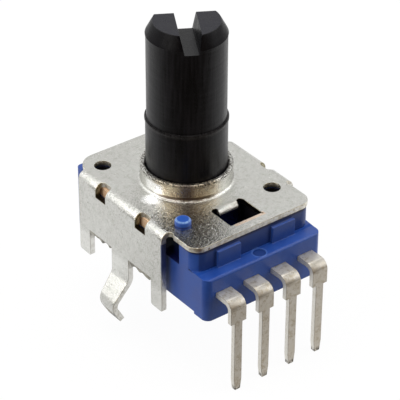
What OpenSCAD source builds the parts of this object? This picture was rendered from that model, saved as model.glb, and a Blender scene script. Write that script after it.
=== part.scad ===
// Rotary potentiometer for a printed circuit board: 6 mm insulated shaft, snap-in cover
// and a row of four pins. Millimetres, +Z along the shaft. The origin is on the shaft's
// axis, in the cover's top face. The pins leave the body on its front, the -Y side.
// As drawn, the shaft stands at the counter-clockwise end of its travel.

/* [Shaft] */
// Diameter of the shaft along its flat
shaft_d = 5.98; // [5.8:0.02:6]
// Diameter of the shaft below its flat
root_d = 6.15; // [6:0.05:6.2]
// Tip of the shaft above the cover's top face
shaft_len = 13.3; // [10:0.1:30]
// Length of the flat, from the tip
flat_len = 7.9; // [4:0.1:8]
// Distance of the flat from the axis
flat_offset = 1.1; // [0.8:0.1:2]
// Length of the chamfer at the tip
tip_chamfer_len = 1.0; // [0.5:0.1:1.2]
// Depth of the chamfer at the tip, across the shaft
tip_chamfer_in = 0.5; // [0.2:0.05:0.8]
// Height of the moulding ridge under the chamfer
ridge_h = 0.25; // [0.1:0.05:0.4]
// How far the moulding ridge stands out
ridge_out = 0.04; // [0.02:0.01:0.06]
// Width of the screwdriver slot at its floor
slot_floor_w = 1.05; // [0.6:0.05:1.2]
// Width of the screwdriver slot at the tip
slot_mouth_w = 1.6; // [1.2:0.1:1.8]
// Depth of the screwdriver slot
slot_depth = 1.3; // [0.8:0.05:2]
// Height of the seam ring where the flat ends
seam_h = 0.2; // [0.1:0.02:0.3]
// How far the seam ring stands out from the shaft below it
seam_out = 0.06; // [0.04:0.01:0.15]
// Total turn of the shaft, in degrees
travel = 300; // [260:5:300]

/* [Rotor] */
// Diameter of the rotor disc under the cover
rotor_d = 7.7; // [7.5:0.1:7.8]
// Thickness of the rotor disc
rotor_t = 1.2; // [1:0.05:1.3]
// Distance between the rotor disc and the plate over it
rotor_play = 0.1; // [0.05:0.01:0.15]
// How far the stop lug stands out of the rotor's rim
lug_out = 0.55; // [0.4:0.05:0.58]
// Distance between the stop lug and the wall round it
lug_gap = 0.1; // [0.05:0.01:0.15]
// Half the angle of the fixed stop, in degrees
stop_half_angle = 9; // [7:1:12]
// Diameter of the pivot under the rotor
pivot_d = 1.8; // [1.4:0.1:1.9]
// Length of the pivot in its bore
pivot_hold = 0.5; // [0.3:0.05:0.6]
// Radial running clearance of the shaft and the pivot
running_gap = 0.05; // [0.02:0.01:0.08]

/* [Cover] */
// Thickness of the cover's sheet
sheet_t = 0.44; // [0.35:0.01:0.5]
// Width of the cover over its two flanges
cover_w = 12.3; // [12.2:0.02:12.6]
// Front edge of the cover, in front of the axis
cover_front = 8.2; // [8:0.05:8.6]
// Back edge of the cover, behind the axis
cover_back = 6.8; // [6.7:0.05:7.5]
// Outer radius of the folds
fold_r = 0.66; // [0.55:0.01:0.7]
// Radius of the cover's front corners
front_corner_r = 1.0; // [0.6:0.1:1.4]
// Radius of the cover's back corners
back_corner_r = 1.5; // [1:0.1:1.5]
// Depth of the relief notches in front of the flanges
relief_depth = 0.13; // [0.08:0.01:0.3]
// Length of the relief notches in front of the flanges
relief_len = 0.6; // [0.4:0.05:0.8]
// Diameter of the drawn collar
collar_d = 7.0; // [6.9:0.05:7.4]
// Radius inside the collar's mouth, under the cover
collar_mouth_r = 0.3; // [0.2:0.05:0.35]
// Height of the drawn collar above the cover
collar_h = 1.4; // [1:0.1:3]
// Radius of the fillet round the collar's foot
collar_foot_r = 0.25; // [0.1:0.05:0.5]
// Radius of the collar's rim
collar_rim_r = 0.12; // [0.08:0.01:0.15]
// Diameter of the four round holes, two of them for the pegs
peg_hole_d = 1.3; // [1.2:0.05:1.5]
// Sideways distance of those four holes from the cover's folds
peg_inset = 1.34; // [1.3:0.01:1.5]
// Lengthwise distance of those four holes from the axis
peg_y = 5.03; // [4.95:0.01:5.2]

/* [Cover tongue] */
// Width of the opening in front of the collar
window_w = 2.9; // [2.5:0.1:3.2]
// Front edge of the opening, in front of the axis
window_front = 7.2; // [7:0.05:7.4]
// Width of the tongue that is bent down into the housing
tongue_w = 1.74; // [1.5:0.02:2.2]
// Front face of the tongue, in front of the axis
tongue_y = 5.17; // [5.15:0.01:6]
// Outer radius of the tongue's fold
tongue_fold_r = 0.46; // [0.46:0.01:0.6]
// Tip of the tongue, below the cover's top face
tongue_drop = 2.0; // [1.6:0.1:2.2]

/* [Flanges] */
// Middle of the flanges, behind the axis
flange_mid = 0.16; // [0:0.01:0.2]
// Length of the flanges along the body
flange_len = 10.54; // [10.2:0.02:10.6]
// Lower edge of the flanges, below the cover's top face
flange_drop = 4.66; // [4.4:0.02:5]
// Bottom of the two end legs of each flange, below the cover's top face
leg_drop = 6.94; // [6.6:0.02:7.6]
// Width of the end legs
leg_w = 1.38; // [1:0.02:1.6]
// Chamfer at the foot of the end legs
leg_chamfer = 0.1; // [0.06:0.02:0.3]
// Width of the snap leg between them
snap_w = 2.18; // [1.8:0.02:2.4]
// Width of the snap leg at its tip
snap_tip_w = 1.5; // [1:0.02:1.8]
// Start of the snap leg's outward bend, below the cover's top face
snap_drop = 6.3; // [6.2:0.05:7]
// Angle of the snap leg's outward bend, in degrees
snap_angle = 38; // [35:1:50]
// Length of the snap leg's outward slope
snap_slope = 1.48; // [1:0.02:1.9]
// Angle at which the snap leg's tip comes back, in degrees
snap_back_angle = 30; // [10:1:40]
// Length of the snap leg's straight tip
snap_tip_len = 1.2; // [0.8:0.05:1.5]
// Outer radius of the snap leg's first bend
snap_knee_r = 0.9; // [0.4:0.05:1]
// Inner radius of the snap leg's second bend
snap_heel_r = 0.6; // [0.3:0.02:0.7]
// Middle of the two fold slots in each fold, behind the axis
slot_mid = 0.05; // [0:0.01:0.2]
// Distance of each fold slot from that middle
slot_pitch = 2.5; // [2.2:0.1:2.8]
// Length of each fold slot along the fold
fold_slot_w = 1.2; // [0.8:0.1:1.4]
// How far the fold slots reach into the cover's top
fold_slot_in = 0.06; // [0.02:0.01:0.2]
// Lower end of the fold slots, below the cover's top face
fold_slot_drop = 1.12; // [0.9:0.02:1.3]

/* [Housing] */
// Gap between each flange and the housing
flange_gap = 0.33; // [0.2:0.01:0.4]
// How far the housing's front stands inside the cover's front edge
front_inset = 0.0; // [0:0.05:0.2]
// How far the housing's back stands inside the cover's back edge
back_inset = 0.0; // [0:0.05:0.3]
// Front face of the terminal block, in front of the axis
block_front = 9.44; // [9.2:0.04:10]
// Top of the terminal block, below the cover's top face
block_top = 2.1; // [1.9:0.02:2.4]
// Underside of the housing, below the cover's top face
body_drop = 5.5; // [5.4:0.05:6]
// Height of the feet that stand on the board
foot_h = 0.2; // [0.1:0.05:0.4]
// Length of the feet along the body
foot_len = 1.5; // [0.8:0.05:1.6]
// Radius of the housing's upright front corners
front_r = 1.0; // [0.5:0.1:1.2]
// Radius of the terminal block's upright corners
block_r = 0.6; // [0.3:0.1:0.7]
// Radius of the housing's upright back corners
back_r = 0.3; // [0.1:0.1:0.7]
// Radius of the terminal block's top front edge
block_edge_r = 0.2; // [0.1:0.05:0.6]
// Depth of the side recesses
recess_depth = 0.48; // [0.4:0.02:0.6]
// Front end of the side recesses, in front of the axis
recess_front = 4.1; // [3.9:0.05:4.7]
// Back end of the side recesses, behind the axis
recess_back = 4.8; // [4.6:0.05:4.9]
// Front end of the recesses' upper windows, in front of the axis
recess_window = 6.15; // [6:0.05:6.3]
// Lower end of the recesses' upper windows, below the cover's top face
recess_window_drop = 2.18; // [1.9:0.02:2.3]
// Diameter of the pegs that pin the cover
peg_d = 1.22; // [1:0.02:1.26]
// Height of the pegs above the cover
peg_h = 0.56; // [0.3:0.02:0.7]
// Chamfer round the top of the pegs
peg_chamfer = 0.14; // [0.04:0.02:0.2]
// Diameter of the core holes under the cover's two open holes
core_d = 1.3; // [0.8:0.05:1.35]
// Depth of those core holes
core_depth = 3.0; // [1:0.1:3.1]
// Width of the two pads on the front face
pad_w = 2.1; // [1.6:0.1:2.4]
// Distance of each pad's middle from the axis
pad_x = 2.52; // [2.2:0.02:2.8]
// How far the pads stand out of the front face
pad_out = 0.28; // [0.15:0.01:0.4]
// Top of the pads, below the housing's top
pad_drop = 0.3; // [0.2:0.05:0.5]
// Clearance between the tongue and the well it hangs in
tongue_gap = 0.1; // [0.05:0.01:0.12]
// Floor of the well, below the cover's top face
well_drop = 2.6; // [2.4:0.05:2.65]
// Diameter of the ejector mark on the terminal block
mark_d = 1.0; // [0.6:0.1:1.2]
// Depth of the ejector mark
mark_depth = 0.08; // [0.03:0.01:0.1]
// Distance of the ejector mark in front of the axis
mark_y = 8.74; // [8.6:0.02:8.8]

/* [Insulating plate] */
// Thickness of the insulating plate under the cover
plate_t = 0.86; // [0.8:0.02:0.9]
// Half length of the plate where it is full width
plate_wide_half = 3.95; // [3.8:0.05:4]
// Half length of the plate in its middle
plate_half = 4.55; // [4.5:0.01:4.57]
// Half width of the plate at its ends
plate_end_x = 3.1; // [2.4:0.05:3.3]
// Radial clearance of the shaft in the plate
plate_bore_gap = 0.1; // [0.06:0.01:0.2]

/* [Element board] */
// Housing's wall beside the element board, from the side recess inwards
board_wall = 0.28; // [0.2:0.01:0.4]
// Back edge of the board, behind the axis
board_back = 5.0; // [4.8:0.05:5.5]
// Front edge of the board, in front of the axis
board_front = 7.9; // [7.8:0.05:8.4]
// Thickness of the element board
board_t = 0.8; // [0.6:0.05:0.85]
// Thickness of the printed tracks
print_t = 0.04; // [0.03:0.01:0.06]
// Mean radius of the carbon track
track_r = 3.2; // [3.1:0.02:3.25]
// Width of the carbon track
track_w = 1.0; // [0.9:0.02:1.05]
// How far the carbon track runs past the wiper's travel, in degrees
track_past = 5; // [3:1:8]
// Mean radius of the collector ring
ring_r = 1.75; // [1.7:0.01:1.8]
// Width of the collector ring
ring_w = 0.8; // [0.75:0.01:0.85]
// Width of the printed leads
lead_w = 0.55; // [0.4:0.05:0.6]
// Mean radius of the tap's lead round the carbon track
tap_r = 4.1; // [4.05:0.01:4.15]
// Width of the tap's lead round the carbon track
tap_w = 0.4; // [0.3:0.05:0.45]

/* [Wiper] */
// Thickness of the wiper's spring sheet
wiper_t = 0.12; // [0.08:0.02:0.16]
// Width of each of the wiper's four fingers
finger_w = 0.25; // [0.15:0.05:0.3]
// Distance between the two fingers of a pair
finger_pitch = 0.36; // [0.34:0.02:0.4]
// Straight edge of the wiper's base, beside the axis
wiper_edge = 1.3; // [1.2:0.05:1.4]
// Contact of the fingers, past the axis
finger_reach = 0.9; // [0.7:0.05:1]
// Air between the fingers and the tracks they slide on
contact_gap = 0.02; // [0.01:0.01:0.04]
// Diameter of the studs that hold the wiper
stud_d = 0.6; // [0.4:0.1:0.7]
// Distance of each stud from the wiper's middle line
stud_y = 1.5; // [1.2:0.1:1.8]

/* [Terminals] */
// Distance from pin to pin
pitch = 2.54; // [2.4:0.02:2.6]
// Width of the terminals where they are wide
terminal_w = 1.4; // [1.2:0.1:1.6]
// Thickness of the terminals
terminal_t = 0.4; // [0.3:0.05:0.45]
// Width of the pins
pin_w = 0.7; // [0.5:0.05:0.9]
// Top face of the terminals, below the cover's top face
terminal_top = 3.38; // [3.3:0.02:3.5]
// Front face of the pins, in front of the axis
pin_front = 11.23; // [11:0.01:12]
// Outer radius of the terminals' bend
bend_r = 0.75; // [0.6:0.05:0.9]
// Lower end of the wide part, below the cover's top face
shoulder_drop = 5.25; // [5:0.05:5.6]
// Tips of the pins, below the cover's top face
tip_drop = 11.35; // [9:0.05:12]
// Length of the pins' pointed end
point_len = 0.9; // [0.5:0.1:1.2]
// Width of the pins at their tips
point_w = 0.47; // [0.3:0.01:0.5]
// Rivets' distance in front of the axis
rivet_y = 7.0; // [6.9:0.05:7.1]
// How far the terminals reach past their rivets
terminal_past = 0.7; // [0.6:0.05:0.8]
// Diameter of the rivets through the board
rivet_d = 0.8; // [0.6:0.1:0.9]
// Diameter of the rivets' heads
rivet_head_d = 1.2; // [1.1:0.1:1.3]
// Height of the rivets' heads
rivet_head_h = 0.12; // [0.08:0.02:0.2]

/* [Hidden] */
$fn = 64;
eps = 0.01;
far = 20;                                        // longer than any cut has to be
snug = 0.02;                                     // clearance of pieces that lie in a pocket
stake_gap = 0.02;                                // radial clearance of studs and rivets
stop_play = 0.3;                                 // degrees between the lug and the stop

steel = "silver";
tin = "lightgray";
blue = "royalblue";
black = [0.1, 0.1, 0.11];
phenolic = "peru";

// Shaft and rotor
shaft_r = shaft_d / 2;
root_r = root_d / 2;
bore_r = root_r + running_gap;
flat_z = shaft_len - flat_len;
ridge_z = shaft_len - tip_chamfer_len;
rest_angle = travel / 2 - 90;                    // way the flat faces, as drawn
contact_angle = rest_angle + 180;                // way the wiper and the lug face
rotor_r = rotor_d / 2;
pivot_r = pivot_d / 2;
chamber_r = rotor_r + lug_out + lug_gap;
stop_r = rotor_r + lug_gap;
end_half_angle = (360 - travel) / 2;
lug_half_angle = end_half_angle - stop_half_angle - stop_play;

// Heights, from the cover down
plate_bottom = -sheet_t - plate_t;
rotor_top = plate_bottom - rotor_play;
rotor_bottom = rotor_top - rotor_t;
terminal_bottom = -terminal_top - terminal_t;
print_top = terminal_bottom;
board_top = print_top - print_t;
board_bottom = board_top - board_t;
pivot_tip = board_bottom - pivot_hold;
foot_z = -body_drop - foot_h;

// Cover
flange_x = cover_w / 2;                          // outer faces of the flanges
fold_x = flange_x - fold_r;                      // where the folds begin
collar_r = collar_d / 2;
peg_x = fold_x - peg_inset;
flange_y = [flange_mid - flange_len / 2, flange_mid + flange_len / 2];
tongue_fold_y = tongue_fold_r - tongue_y;        // where the tongue's fold begins

// Housing
body_x = flange_x - sheet_t - flange_gap;
recess_x = body_x - recess_depth;
board_x = recess_x - board_wall;
body_front = front_inset - cover_front;
body_back = cover_back - back_inset;
well_x = window_w / 2 + tongue_gap;
well_y = [-window_front, sheet_t + tongue_gap - tongue_y];
peg_places = [[-peg_x, -peg_y], [peg_x, peg_y]];
open_places = [[-peg_x, peg_y], [peg_x, -peg_y]];

function terminal_x(k) = (k - 2.5) * pitch;      // k counts from 1 to 4
function polar(r, a) = [r * cos(a), r * sin(a)];

// ---- Shapes shared by several sub-parts ----

// What a rounded corner at p leaves over, for a corner that points along dir
module corner_cut(p, dir, r) {
    translate([p.x - dir.x * r, p.y - dir.y * r])
        difference() {
            polygon([[0, 0], [dir.x * (r + 1), 0], [dir.x * (r + 1), dir.y * (r + 1)],
                     [0, dir.y * (r + 1)]]);
            circle(r = r);
        }
}

// Rectangle from lo to hi with rounded corners, front ones and back ones
module rounded(lo, hi, front, back) {
    difference() {
        translate(lo) square(hi - lo);
        corner_cut(lo, [-1, -1], front);
        corner_cut([hi.x, lo.y], [1, -1], front);
        corner_cut([lo.x, hi.y], [-1, 1], back);
        corner_cut(hi, [1, 1], back);
    }
}

// Wedge from the axis out to r, to both sides of an angle
module wedge(r, angle, half) {
    polygon([[0, 0], polar(r, angle - half), polar(r, angle), polar(r, angle + half)]);
}

module ring(mid_r, w) {
    difference() {
        circle(r = mid_r + w / 2);
        circle(r = mid_r - w / 2);
    }
}

// Straight strip of width w between two points, with round ends
module strip(a, b, w) {
    d = b - a;
    translate(a) rotate(atan2(d.y, d.x)) translate([0, -w / 2]) square([norm(d), w]);
    for (p = [a, b]) translate(p) circle(d = w);
}

// A profile drawn in X and Z, extruded along Y from y0 to y1
module along_y(y0, y1) {
    translate([0, y1, 0]) rotate([90, 0, 0]) linear_extrude(y1 - y0) children();
}

// A profile drawn in Y and Z, extruded along X from x0 to x1
module along_x(x0, x1) {
    translate([x0, 0, 0]) rotate([90, 0, 90]) linear_extrude(x1 - x0) children();
}

// A flat outline extruded from z0 up to z1
module upright(z0, z1) {
    translate([0, 0, z0]) linear_extrude(z1 - z0) children();
}

module both_sides() {
    children();
    mirror([1, 0, 0]) children();
}

// Sheet bent round c, inner radius r, between two angles less than 90 degrees apart
module sheet_bend(c, r, a0, a1) {
    reach = 2 * (r + sheet_t);
    translate(c) intersection() {
        ring(r + sheet_t / 2, sheet_t);
        polygon([[0, 0], polar(reach, a0), polar(reach, (a0 + a1) / 2), polar(reach, a1)]);
    }
}

// ---- Cover ----

// Opening in front of the collar, with the round ends of the notches beside the tongue
module cover_window() {
    notch_w = (window_w - tongue_w) / 2;
    difference() {
        translate([-window_w / 2, -window_front]) square([window_w, window_front + tongue_fold_y]);
        for (s = [-1, 1])
            difference() {
                translate([s * (tongue_w + notch_w) / 2, tongue_fold_y - notch_w / 4])
                    square([notch_w, notch_w / 2], center = true);
                translate([s * (tongue_w + notch_w) / 2, tongue_fold_y - notch_w / 2])
                    circle(d = notch_w);
            }
    }
}

module cover_top() {
    difference() {
        rounded([-fold_x, -cover_front], [fold_x, cover_back], front_corner_r, back_corner_r);
        for (s = [-1, 1])
            translate([s * (fold_x + relief_len / 2 - relief_depth), flange_y[0] - relief_len / 2])
                circle(d = relief_len);
        circle(r = collar_r);
        for (p = concat(peg_places, open_places)) translate(p) circle(d = peg_hole_d);
        cover_window();
    }
}

module collar() {
    rotate_extrude() difference() {
        union() {
            translate([bore_r, -sheet_t]) square([collar_r - bore_r, collar_h + sheet_t]);
            translate([collar_r - eps, -sheet_t]) square([collar_foot_r, sheet_t + collar_foot_r]);
        }
        translate([collar_r + collar_foot_r, collar_foot_r]) circle(r = collar_foot_r);
        corner_cut([collar_r, collar_h], [1, 1], collar_rim_r);
        corner_cut([bore_r, collar_h], [-1, 1], collar_rim_r);
        corner_cut([bore_r, -sheet_t], [-1, -1], collar_mouth_r);
    }
}

// Tongue bent down from the back edge of the opening
module tongue() {
    along_x(-tongue_w / 2, tongue_w / 2) {
        sheet_bend([tongue_fold_y, -tongue_fold_r], tongue_fold_r - sheet_t, 90, 180);
        translate([-tongue_y, -tongue_drop]) square([sheet_t, tongue_drop - tongue_fold_r]);
    }
}

// Fold and flat of one flange, in X and Z
module flange_profile() {
    sheet_bend([fold_x, -fold_r], fold_r - sheet_t, 0, 90);
    translate([flange_x - sheet_t, -leg_drop]) square([sheet_t, leg_drop - fold_r]);
}

// Outline of an end leg, in Y and Z, from the flange's end inwards
module leg_outline() {
    polygon([[0, -flange_drop], [0, leg_chamfer - leg_drop], [leg_chamfer, -leg_drop],
             [leg_w - leg_chamfer, -leg_drop], [leg_w, leg_chamfer - leg_drop],
             [leg_w, -flange_drop]]);
}

module flange_outline() {
    translate([flange_y[0], -flange_drop]) square([flange_len, flange_drop]);
    translate([flange_y[0], eps]) leg_outline();
    translate([flange_y[1], eps]) mirror([1, 0]) leg_outline();
}

// The sprung leg: straight, bent out, and back in again at its foot, in X and Z
module snap_profile() {
    knee = [flange_x + snap_knee_r, -snap_drop];
    slope_start = knee - polar(snap_knee_r, snap_angle);
    slope_end = slope_start + snap_slope * [sin(snap_angle), -cos(snap_angle)];
    heel = slope_end - polar(snap_heel_r + sheet_t, snap_angle);
    toe_start = heel + polar(snap_heel_r, -snap_back_angle);
    translate([flange_x - sheet_t, -snap_drop]) square([sheet_t, snap_drop - flange_drop + eps]);
    sheet_bend(knee, snap_knee_r, 180, 180 + snap_angle);
    translate(slope_start) rotate(snap_angle - 90) translate([-eps, -sheet_t])
        square([snap_slope + 2 * eps, sheet_t]);
    sheet_bend(heel, snap_heel_r, -snap_back_angle, snap_angle);
    translate(toe_start) rotate(-90 - snap_back_angle) translate([-eps, 0])
        square([snap_tip_len + eps, sheet_t]);
}

// Outline of the sprung leg, in Y and Z, narrowed from its first bend to its foot
module snap_outline() {
    foot_level = -snap_drop - snap_slope - snap_tip_len - snap_knee_r;
    polygon([[-snap_w / 2, eps - flange_drop], [-snap_w / 2, -snap_drop],
             [-snap_tip_w / 2, foot_level], [-snap_tip_w / 2, -far],
             [snap_tip_w / 2, -far], [snap_tip_w / 2, foot_level],
             [snap_w / 2, -snap_drop], [snap_w / 2, eps - flange_drop]]);
}

module fold_slot() {
    half = fold_slot_w / 2;
    inner = fold_x - fold_slot_in;
    upright(-fold_slot_drop, fold_r) rounded([inner, -half], [inner + far, half], fold_r / 2,
                                             fold_r / 2);
}

module flange() {
    difference() {
        intersection() {
            along_y(flange_y[0], flange_y[1]) flange_profile();
            along_x(0, far) flange_outline();
        }
        for (s = [-1, 1]) translate([0, slot_mid + s * slot_pitch, 0]) fold_slot();
    }
    intersection() {
        along_y(flange_mid - snap_w / 2, flange_mid + snap_w / 2) snap_profile();
        translate([0, flange_mid, 0]) along_x(0, far) snap_outline();
    }
}

module cover() {
    color(steel) difference() {
        union() {
            upright(-sheet_t, 0) cover_top();
            collar();
            tongue();
            both_sides() flange();
        }
        both_sides()
            for (s = [-1, 1]) translate([0, slot_mid + s * slot_pitch, 0]) fold_slot();
    }
}

// ---- Housing ----

module body_outline() {
    rounded([-body_x, body_front], [body_x, body_back], front_r, back_r);
}

module terminal_block() {
    intersection() {
        upright(foot_z, -block_top)
            rounded([-body_x, -block_front], [body_x, body_front + front_r + eps], block_r, eps);
        along_x(-body_x, body_x) difference() {
            translate([-block_front, foot_z]) square([far, -block_top - foot_z]);
            corner_cut([-block_front, -block_top], [-1, 1], block_edge_r);
            translate([foot_len - block_front, foot_z]) square([far, foot_h]);
        }
    }
}

// Two feet under the back corners
module back_feet() {
    upright(foot_z, eps - body_drop) intersection() {
        body_outline();
        for (s = [-1, 1])
            translate([s * body_x, body_back]) square([2 * foot_len, 2 * foot_len], center = true);
    }
}

module pads() {
    for (s = [-1, 1])
        translate([s * pad_x - pad_w / 2, body_front - pad_out, -block_top - eps])
            cube([pad_w, pad_out + front_r, block_top + eps - sheet_t - pad_drop]);
}

module pegs() {
    for (p = peg_places) translate([p.x, p.y, -sheet_t - eps]) {
        cylinder(d = peg_d, h = sheet_t + eps + peg_h - peg_chamfer);
        translate([0, 0, sheet_t + eps + peg_h - peg_chamfer])
            cylinder(d1 = peg_d, d2 = peg_d - 2 * peg_chamfer, h = peg_chamfer);
    }
}

// Recesses that the flanges stand over, each with a window at its front, under the cover
module side_recess() {
    upright(foot_z - eps, plate_bottom)
        translate([recess_x, -recess_front]) square([far, recess_front + recess_back]);
    upright(-recess_window_drop, 0)
        translate([recess_x, -recess_window]) square([far, recess_window - plate_wide_half]);
}

module rotor_chamber() {
    upright(board_top, plate_bottom + eps) circle(r = chamber_r);
}

// Fixed stop, standing in from the chamber's wall level with the rotor
module stop() {
    upright(rotor_bottom - lug_gap, plate_bottom) intersection() {
        wedge(far, 270, stop_half_angle);
        difference() {
            circle(r = chamber_r + eps);
            circle(r = stop_r);
        }
    }
}

module tongue_well() {
    upright(-well_drop, 0)
        translate([-well_x, well_y[0]]) square([2 * well_x, well_y[1] - well_y[0]]);
    upright(plate_bottom, 0)
        translate([-well_x, well_y[0]]) square([2 * well_x, -plate_half - well_y[0] + eps]);
}

module housing() {
    color(blue) difference() {
        union() {
            upright(-body_drop, -sheet_t) body_outline();
            terminal_block();
            back_feet();
            pads();
            pegs();
        }
        difference() {
            rotor_chamber();
            stop();
        }
        upright(plate_bottom, 0) plate_outline(snug);
        tongue_well();
        both_sides() side_recess();
        for (p = open_places) translate([p.x, p.y, -sheet_t - core_depth])
            cylinder(d = core_d, h = core_depth + eps);
        translate([0, 0, pivot_tip - rotor_play])
            cylinder(r = pivot_r + running_gap, h = pivot_hold + rotor_play + eps);
        translate([0, -mark_y, -block_top - mark_depth]) cylinder(d = mark_d, h = 1);
        board_blank();
        for (k = [1:4]) {
            upright(board_top, print_top) lead_blank(k);
            terminal_blank(k);
            rivet_blank(k);
        }
    }
}

// ---- Insulating plate and element board ----

// As wide as the cover's flat top, narrower at its two ends, and larger all round by gap
module plate_outline(gap) {
    square(2 * [fold_x + gap, plate_wide_half + gap], center = true);
    square(2 * [plate_end_x + gap, plate_half + gap], center = true);
}

module insulating_plate() {
    color(phenolic) upright(plate_bottom, -sheet_t) difference() {
        plate_outline(0);
        circle(r = root_r + plate_bore_gap);
    }
}

module board_blank() {
    upright(board_bottom, board_top)
        translate([-board_x, -board_front]) square([2 * board_x, board_front + board_back]);
}

module element_board() {
    color(phenolic) difference() {
        board_blank();
        cylinder(r = pivot_r + plate_bore_gap, h = far, center = true);
        for (k = [1:4]) rivet_hole(k);
    }
}

module track_outline() {
    difference() {
        ring(track_r, track_w);
        wedge(2 * track_r, 270, end_half_angle - track_past);
    }
}

module carbon_track() {
    color(black) upright(board_top, print_top) track_outline();
}

module collector_ring() {
    color(steel) upright(board_top, print_top) ring(ring_r, ring_w);
}

// Printed ends of the track: a pad beside each end, in the gap
module track_pad(side) {
    gap = end_half_angle - track_past;
    intersection() {
        ring(track_r, track_w);
        wedge(2 * track_r, 270 + side * (gap - track_past), track_past);
    }
}

// Routes of the four leads: the track's two ends, its middle (a tap) and the collector
module lead_route(k) {
    end = [terminal_x(k), -rivet_y];
    side = k == 1 ? -1 : 1;
    start = polar(track_r, 270 + side * (end_half_angle - 2 * track_past));
    tap_end_angle = 310;
    if (k == 1 || k == 3) {
        track_pad(side);
        strip(start, end, lead_w);
    }
    if (k == 2) {
        strip([0, -ring_r], [0, -chamber_r], lead_w);
        strip([0, -chamber_r], [end.x, -rivet_y + terminal_w], lead_w);
        strip([end.x, -rivet_y + terminal_w], end, lead_w);
    }
    if (k == 4) {
        translate([-tap_w / 2, track_r]) square([tap_w, tap_r - track_r]);
        difference() {
            ring(tap_r, tap_w);
            wedge(far, 135, 45);
            wedge(far, 225, 45);
            wedge(far, (270 + tap_end_angle) / 2, (tap_end_angle - 270) / 2);
        }
        strip(polar(tap_r, tap_end_angle), end, lead_w);
    }
}

module lead_blank(k) {
    difference() {
        union() {
            lead_route(k);
            translate([terminal_x(k), -rivet_y]) square([terminal_w, 2 * terminal_past], center = true);
        }
        track_outline();
        circle(r = ring_r + ring_w / 2);
    }
}

module lead(k) {
    color(tin) difference() {
        upright(board_top, print_top) lead_blank(k);
        rivet_hole(k);
    }
}

// ---- Wiper ----

module wiper_base() {
    difference() {
        intersection() {
            circle(r = rotor_r - eps);
            translate([-far, -far]) square([far - wiper_edge, 2 * far]);
        }
        for (s = [-1, 1]) translate([stud_x(), s * stud_y]) circle(d = stud_d + 2 * stake_gap);
    }
}

function stud_x() = -(wiper_edge + rotor_r) / 2;

// A finger from the side: down from the base, a flat contact, and a turned-up end
module finger_profile() {
    base_z = rotor_bottom;
    low_z = print_top + contact_gap + wiper_t;
    top = [[-wiper_edge - finger_w, base_z], [-wiper_edge, base_z],
           [finger_reach - wiper_t, low_z], [finger_reach + wiper_t, low_z],
           [finger_reach + 3 * wiper_t, low_z + 2 * wiper_t]];
    under = [for (i = [len(top) - 1:-1:0]) top[i] - [0, wiper_t]];
    polygon(concat(top, under));
}

module wiper() {
    color("goldenrod") rotate(wiper_turn()) {
        upright(rotor_bottom - wiper_t, rotor_bottom) wiper_base();
        for (y = [-track_r + finger_drop(track_r), -ring_r + finger_drop(ring_r)], s = [-1, 1]) {
            mid = y + s * finger_pitch / 2;
            along_y(mid - finger_w / 2, mid + finger_w / 2) finger_profile();
        }
    }
}

// How much nearer to the middle line a pair of fingers runs than its track's radius
function finger_drop(r) = r - sqrt(r * r - finger_reach * finger_reach);
function wiper_turn() = contact_angle + acos(finger_reach / track_r);

// ---- Shaft ----

module shaft_solid() {
    rotate_extrude() polygon([
        [0, pivot_tip], [pivot_r, pivot_tip], [pivot_r, rotor_bottom], [rotor_r, rotor_bottom],
        [rotor_r, rotor_top], [root_r, rotor_top], [root_r, flat_z - seam_h],
        [root_r + seam_out, flat_z - seam_h], [root_r + seam_out, flat_z], [shaft_r, flat_z],
        [shaft_r, ridge_z - ridge_h], [shaft_r + ridge_out, ridge_z],
        [shaft_r - tip_chamfer_in, shaft_len], [0, shaft_len]]);
}

// Stop lug on the rotor's rim, opposite the flat
module stop_lug() {
    upright(rotor_bottom, rotor_top) intersection() {
        wedge(far, 180, lug_half_angle);
        difference() {
            circle(r = rotor_r + lug_out);
            circle(r = rotor_r - eps);
        }
    }
}

module shaft_flat() {
    translate([flat_offset, -far / 2, flat_z]) cube([far, far, far]);
}

module driver_slot() {
    floor_z = shaft_len - slot_depth;
    along_x(-far / 2, far / 2) polygon([
        [-slot_floor_w / 2, floor_z], [slot_floor_w / 2, floor_z],
        [slot_mouth_w / 2, shaft_len], [slot_mouth_w / 2, shaft_len + 1],
        [-slot_mouth_w / 2, shaft_len + 1], [-slot_mouth_w / 2, shaft_len]]);
}

// Two studs through the wiper, each with a spread head
module wiper_studs() {
    head_z = rotor_bottom - 2 * wiper_t;
    for (s = [-1, 1]) translate([stud_x(), s * stud_y, 0]) {
        upright(head_z, rotor_bottom + eps) circle(d = stud_d);
        upright(head_z, rotor_bottom - wiper_t) circle(d = stud_d + 3 * wiper_t);
    }
}

module shaft() {
    color(black) {
        rotate(rest_angle) difference() {
            union() {
                shaft_solid();
                stop_lug();
            }
            shaft_flat();
            driver_slot();
        }
        rotate(wiper_turn()) wiper_studs();
    }
}

// ---- Terminals and rivets ----

// Side view of a terminal, in Y and Z
module terminal_side() {
    inner_end = terminal_past - rivet_y;
    bend_y = bend_r - pin_front;
    bend_z = -terminal_top - bend_r;
    translate([bend_y, -terminal_top - terminal_t])
        square([inner_end - bend_y, terminal_t]);
    translate([bend_y, bend_z]) intersection() {
        ring(bend_r - terminal_t / 2, terminal_t);
        translate([-far, 0]) square([far, far]);
    }
    translate([-pin_front, -tip_drop]) square([terminal_t, tip_drop + bend_z]);
}

// Front view of a terminal, in X and Z: wide, then a pin with a pointed end
module terminal_front() {
    translate([-terminal_w / 2, -shoulder_drop]) square([terminal_w, shoulder_drop]);
    polygon([[-pin_w / 2, eps - shoulder_drop], [-pin_w / 2, point_len - tip_drop],
             [-point_w / 2, -tip_drop], [point_w / 2, -tip_drop],
             [pin_w / 2, point_len - tip_drop], [pin_w / 2, eps - shoulder_drop]]);
}

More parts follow.
